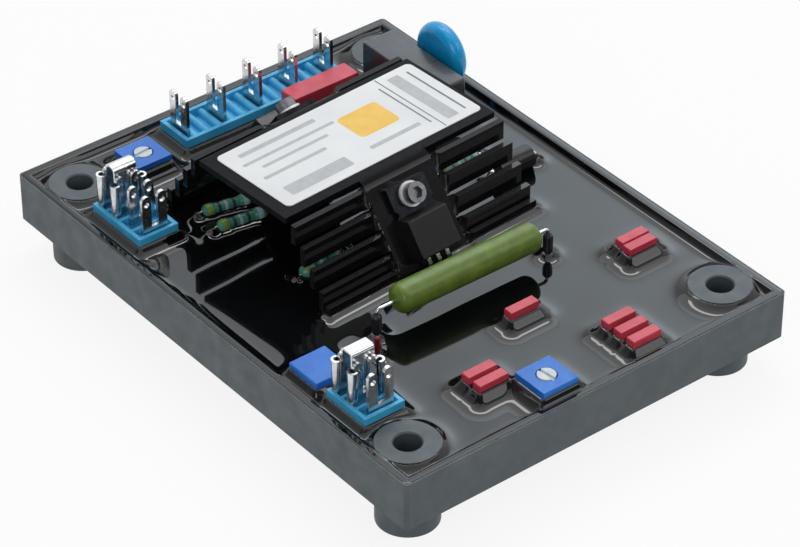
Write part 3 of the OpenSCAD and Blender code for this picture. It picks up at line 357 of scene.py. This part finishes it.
def outside(x, y):
    """Distance to the tray's outer edge, which has rounded corners."""
    dx, dy = abs(x) - tray_high.x + CORNER, abs(y) - tray_high.y + CORNER
    if dx > 0 and dy > 0:
        return CORNER - math.hypot(dx, dy)
    return CORNER - max(dx, dy)


def held_in(x, y):
    """The point itself, or the nearest one just inside the tray's rounded corner."""
    if outside(x, y) >= CORNER_GAP:
        return x, y
    cx, cy = tray_high.x - CORNER, tray_high.y - CORNER
    f = (CORNER - CORNER_GAP) / math.hypot(abs(x) - cx, abs(y) - cy)
    return math.copysign(cx + (abs(x) - cx) * f, x), math.copysign(cy + (abs(y) - cy) * f, y)


def wave(x, y):
    """The slight unevenness of the cast surface, in mm."""
    swell = 0.02 * math.sin(x * 210 + 0.6) * math.sin(y * 170 - 0.4)
    return swell + 0.006 * math.sin(x * 430 - y * 390)


def surface(x, y):
    """Height of the resin: level in the middle, up every wall, and over the rim as a thin film."""
    wall = min(pot_high.x - abs(x), pot_high.y - abs(y))
    if wall < 0:
        lack = max(RIM_EDGE - outside(x, y), 0.0)
        return tray_high.z + FILM - (RIM_EDGE - math.sqrt(RIM_EDGE ** 2 - lack ** 2))
    total = climb(wall, *WALL_CREEP) ** BLEND
    for c in BOSSES:
        total += climb(math.hypot(x - c.x, y - c.y) - BOSS_R, *BOSS_CREEP) ** BLEND
    for tree, height, reach in trees:
        total += climb(tree.find((x, y, 0.0))[2], height, reach) ** BLEND
    return pot_top + total ** (1 / BLEND) + wave(x, y) * MM


xs, ys = lines(tray_high.x, pot_high.x), lines(tray_high.y, pot_high.y)
bm = bmesh.new()
grid = {}
for j, y in enumerate(ys):
    for i, x in enumerate(xs):
        if any((x - c.x) ** 2 + (y - c.y) ** 2 < BOSS_OPENING ** 2 for c in BOSSES):
            continue
        px, py = held_in(x, y)
        grid[i, j] = bm.verts.new((px, py, surface(px, py)))
for j in range(len(ys) - 1):
    for i in range(len(xs) - 1):
        q = [grid.get(k) for k in ((i, j), (i + 1, j), (i + 1, j + 1), (i, j + 1))]
        if all(q):
            bm.faces.new(q).smooth = True
edge = [e for e in bm.edges if e.is_boundary]
made = bmesh.ops.extrude_edge_only(bm, edges=edge)
for v in made["geom"]:
    if isinstance(v, bmesh.types.BMVert):
        v.co.z = pot_top - SKIRT
me = bpy.data.meshes.new("potting_surface")
bm.to_mesh(me)
bm.free()
potting = bpy.data.objects.new("potting_surface", me)
bpy.context.collection.objects.link(potting)
potting.data.materials.append(M["potting"])
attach(potting, BODY)
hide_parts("potting")


# Small pieces laid on the nodes.
def add(name, bm, mat, smooth=False):
    """Makes a piece of the mesh in bm, which it frees."""
    me = bpy.data.meshes.new(name)
    bm.to_mesh(me)
    bm.free()
    for p in me.polygons:
        p.use_smooth = smooth
    o = bpy.data.objects.new(name, me)
    bpy.context.collection.objects.link(o)
    o.data.materials.append(M[mat])
    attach(o, BODY)
    return o


# Printed fields on the label.
TURN_LIMIT, TURNS_A_DEGREE = 8, 10  # the label's turn is searched up to this many degrees each way
PRINT_LIFT = 0.02
CORNER_STEPS, CORNER_TURN = 5, 22.5


def plate_frame():
    """The label's own frame: its middle, and its long and short directions, read from its corners."""
    co = np.array([v.co for v in nodes["label"].data.vertices])
    top = co[co[:, 2] > co[:, 2].max() - 1e-6]
    best, ang = None, 0.0
    for k in range(-TURN_LIMIT * TURNS_A_DEGREE, TURN_LIMIT * TURNS_A_DEGREE + 1):
        a = math.radians(k / TURNS_A_DEGREE)
        u = top[:, 0] * math.cos(a) + top[:, 1] * math.sin(a)
        v = -top[:, 0] * math.sin(a) + top[:, 1] * math.cos(a)
        area = np.ptp(u) * np.ptp(v)
        if best is None or area < best:
            best, ang, mid = area, a, ((u.max() + u.min()) / 2, (v.max() + v.min()) / 2)
    c, s = math.cos(ang), math.sin(ang)
    centre = Vector((mid[0] * c - mid[1] * s, mid[0] * s + mid[1] * c, co[:, 2].max()))
    return Matrix.Translation(centre) @ Matrix.Rotation(ang, 4, "Z")


LABEL = plate_frame()


def printed(name, fields, mat):
    """Flat printed fields on the label: (x, y, width, depth, corner radius) in mm from its middle."""
    bm = bmesh.new()
    for x, y, w, d, r in fields:
        ring = []
        for cx, cy, a0 in ((1, 1, 0), (-1, 1, 90), (-1, -1, 180), (1, -1, 270)):
            for k in range(CORNER_STEPS):
                a = math.radians(a0 + k * CORNER_TURN)
                point = Vector(((x + cx * (w / 2 - r) + r * math.cos(a)) * MM,
                                (y + cy * (d / 2 - r) + r * math.sin(a)) * MM, PRINT_LIFT * MM))
                ring.append(bm.verts.new(LABEL @ point))
        bm.faces.new(ring)
    return add(name, bm, mat)


printed("label_lines", [(17.1, 0.0, 0.3, 23.2, 0.1), (24.6, 0.0, 0.5, 19.0, 0.2),
                        (15.6, 0.0, 0.4, 17.0, 0.15)], "ink_dark")
printed("label_yellow_field", [(6.2, 1.2, 11.0, 9.0, 1.2)], "ink_yellow")
printed("label_grey_bars", [(-12.9, 8.8, 20.8, 1.3, 0.3), (-12.4, 5.5, 25.0, 0.9, 0.3),
                            (-13.0, 2.6, 18.0, 0.9, 0.3), (-16.0, -0.9, 17.0, 1.0, 0.3),
                            (-15.3, -7.6, 17.0, 3.6, 0.4), (6.5, -7.2, 14.0, 1.2, 0.3),
                            (20.7, 0.0, 3.2, 20.0, 0.3)], "ink_light")

# Colour rings on the axial resistors, in mm along each body from its middle.
RINGS = (("band_olive", (-4.3,)), ("band_pale", (-0.4, 4.2)), ("band_dark", (-2.0, 1.4)))
CAP_FROM = 3  # beyond this lie the body's thicker ends
CAP_RING, WAIST_RING = (1.3, 1.47), (0.8, 1.23)  # width and radius
RING_SIDES = 28
RING_SLOPE, RING_LIP = 0.08, 0.05  # width and depth of the ring's sloped edges


def islands(name):
    """The vertices of each separate solid of a node."""
    me = nodes[name].data
    key, parent = {}, {}

    def find(a):
        while parent[a] != a:
            parent[a] = parent[parent[a]]
            a = parent[a]
        return a

    ids = []
    for v in me.vertices:
        k = tuple(round(c * 1e6) for c in v.co)
        ids.append(k)
        parent.setdefault(k, k)
        key[k] = v.co.copy()
    for p in me.polygons:
        vs = [ids[i] for i in p.vertices]
        for b in vs[1:]:
            parent[find(vs[0])] = find(b)
    out = {}
    for k in parent:
        out.setdefault(find(k), []).append(key[k])
    return list(out.values())


def axis_of(points):
    """Middle and level direction of a long body, from its vertices."""
    a = np.array(points)
    c = a - a.mean(0)
    d = np.linalg.svd(c, full_matrices=False)[2][0]
    d[2] = 0
    d /= np.linalg.norm(d)
    if d[0] < 0:
        d = -d
    t = c @ d
    mid = a.mean(0) + d * (t.max() + t.min()) / 2
    mid[2] = (a[:, 2].min() + a[:, 2].max()) / 2
    return Vector(mid), Vector(d)


def ring(bm, mid, d, at, width, radius):
    """A thin band round the axis through mid along d, at a distance from mid, in mm."""
    side = Vector((-d.y, d.x, 0))
    up = Vector((0, 0, 1))
    half = width / 2
    loops = []
    for off, r in ((-half, radius - RING_LIP), (-half + RING_SLOPE, radius),
                   (half - RING_SLOPE, radius), (half, radius - RING_LIP)):
        loop = []
        for k in range(RING_SIDES):
            a = 2 * math.pi * k / RING_SIDES
            spoke = side * math.cos(a) + up * math.sin(a)
            loop.append(bm.verts.new(mid + d * ((at + off) * MM) + spoke * (r * MM)))
        loops.append(loop)
    for a, b in zip(loops, loops[1:]):
        for k in range(RING_SIDES):
            n = (k + 1) % RING_SIDES
            bm.faces.new((a[k], a[n], b[n], b[k]))


for key, places in RINGS:
    bm = bmesh.new()
    for solid in islands("axial_resistor_bodies"):
        mid, d = axis_of(solid)
        for at in places:
            ring(bm, mid, d, at, *(CAP_RING if abs(at) > CAP_FROM else WAIST_RING))
    add("resistor_rings_" + key, bm, key, smooth=True)

# Floor: white to the eye, and still able to take a shadow.
FLOOR_SIZE, FLOOR_Z = 12, -0.0002
FLOOR_GLOW = 0.87
bpy.ops.mesh.primitive_plane_add(size=FLOOR_SIZE, location=(0, 0, FLOOR_Z))
floor = bpy.context.object
floor.name = "floor"
fm = bpy.data.materials.new("floor_white")
fm.use_nodes = True
ft = fm.node_tree
paint = wire(ft, ft.nodes["Principled BSDF"],
             {"Base Color": (0.95, 0.95, 0.95, 1), "Roughness": 0.9, "Specular IOR Level": 0.1})
glow = put(ft, "ShaderNodeEmission", {"Color": (1, 1, 1, 1), "Strength": 1.0})
share = put(ft, "ShaderNodeMath", {1: FLOOR_GLOW}, {0: seen_by_eye(ft)}, operation="MULTIPLY")
mixed = put(ft, "ShaderNodeMixShader", links={"Fac": share.outputs[0], 1: paint.outputs["BSDF"],
                                              2: glow.outputs["Emission"]})
wire(ft, ft.nodes["Material Output"], links={"Surface": mixed.outputs["Shader"]})
floor.data.materials.append(fm)

# World: a weak even light, with a bright paper at the back that only the eye sees.
PAPER_SIDE = (0.62, 0.78, 0.0)
PAPER_FROM, PAPER_TO = -0.1, 0.35
PAPER_GLOW, SKY_LIGHT = 0.8, 0.17
world = bpy.data.worlds.new("studio")
bpy.context.scene.world = world
world.use_nodes = True
wt = world.node_tree
toward = put(wt, "ShaderNodeVectorMath", {1: PAPER_SIDE},
             {0: put(wt, "ShaderNodeTexCoord").outputs["Generated"]}, operation="DOT_PRODUCT")
paper = put(wt, "ShaderNodeMapRange",
            {"From Min": PAPER_FROM, "From Max": PAPER_TO, "To Min": 0.0, "To Max": PAPER_GLOW},
            {"Value": toward.outputs["Value"]})
strength = put(wt, "ShaderNodeMath", {2: SKY_LIGHT}, {0: seen_by_eye(wt), 1: paper.outputs["Result"]},
               operation="MULTIPLY_ADD")
wire(wt, wt.nodes["Background"], {"Color": (0.97, 0.98, 1.0, 1)}, {"Strength": strength.outputs[0]})


# Lamps.
def softbox(name, place, target, size, radiance, spread=180.0, colour=(1, 1, 1)):
    """An area lamp at place that faces target, its strength given as a radiance."""
    lamp = bpy.data.lights.new(name, "AREA")
    lamp.shape = "RECTANGLE"
    lamp.size, lamp.size_y = size
    lamp.energy = radiance * math.pi * size[0] * size[1]
    lamp.spread = math.radians(spread)
    lamp.color = colour
    o = bpy.data.objects.new(name, lamp)
    bpy.context.collection.objects.link(o)
    o.location = place
    o.rotation_euler = (Vector(target) - Vector(place)).to_track_quat("-Z", "Y").to_euler()


# The flat resin mirrors the back softbox, whose narrow spread shades it from side to side.
softbox("back_softbox", (0.36, 0.40, 0.42), (-0.308, -0.149, -0.082), (0.8, 0.5), 0.12, 42.0,
        (0.78, 0.91, 1.0))
softbox("key_softbox", (0.21, 0.31, 0.70), (0, 0, 0.02), (0.62, 0.10), 6.5)
softbox("top_softbox", (0.12, 0.18, 0.95), (0, 0, 0), (1.2, 1.3), 0.9)
softbox("side_fill", (0.44, -0.54, 0.56), (0, 0, 0.02), (0.46, 0.38), 2.2)
softbox("front_fill", (-0.7, -0.5, 0.45), (0, 0, 0.02), (0.5, 0.5), 2.8)

# Camera, as fitted to the photo: angles in degrees, distances in metres.
AZ, EL, ROLL = (math.radians(v) for v in (-38.35, 36.51, -0.17))
DISTANCE, SHIFT_RIGHT, SHIFT_DOWN, AIM_HEIGHT = 0.774, 0.00137, 0.00885, 0.0191
FOCAL_PIXELS, WIDTH_PIXELS, SENSOR = 3643.7, 800, 36
back = Vector((math.sin(AZ) * math.cos(EL), -math.cos(AZ) * math.cos(EL), math.sin(EL)))
right = Vector((math.cos(AZ), math.sin(AZ), 0))
up = back.cross(right)
right, up = (math.cos(ROLL) * right + math.sin(ROLL) * up,
             -math.sin(ROLL) * right + math.cos(ROLL) * up)
place = back * DISTANCE + right * SHIFT_RIGHT - up * SHIFT_DOWN + Vector((0, 0, AIM_HEIGHT))
cam = bpy.data.cameras.new("camera")
cam.sensor_width = SENSOR
cam.sensor_fit = "HORIZONTAL"
cam.lens = FOCAL_PIXELS / WIDTH_PIXELS * SENSOR
cam.clip_start = 0.01
camera = bpy.data.objects.new("camera", cam)
bpy.context.collection.objects.link(camera)
camera.matrix_world = Matrix(((right.x, up.x, back.x, place.x), (right.y, up.y, back.y, place.y),
                              (right.z, up.z, back.z, place.z), (0, 0, 0, 1)))
bpy.context.scene.camera = camera
bpy.context.scene.view_settings.view_transform = "Standard"
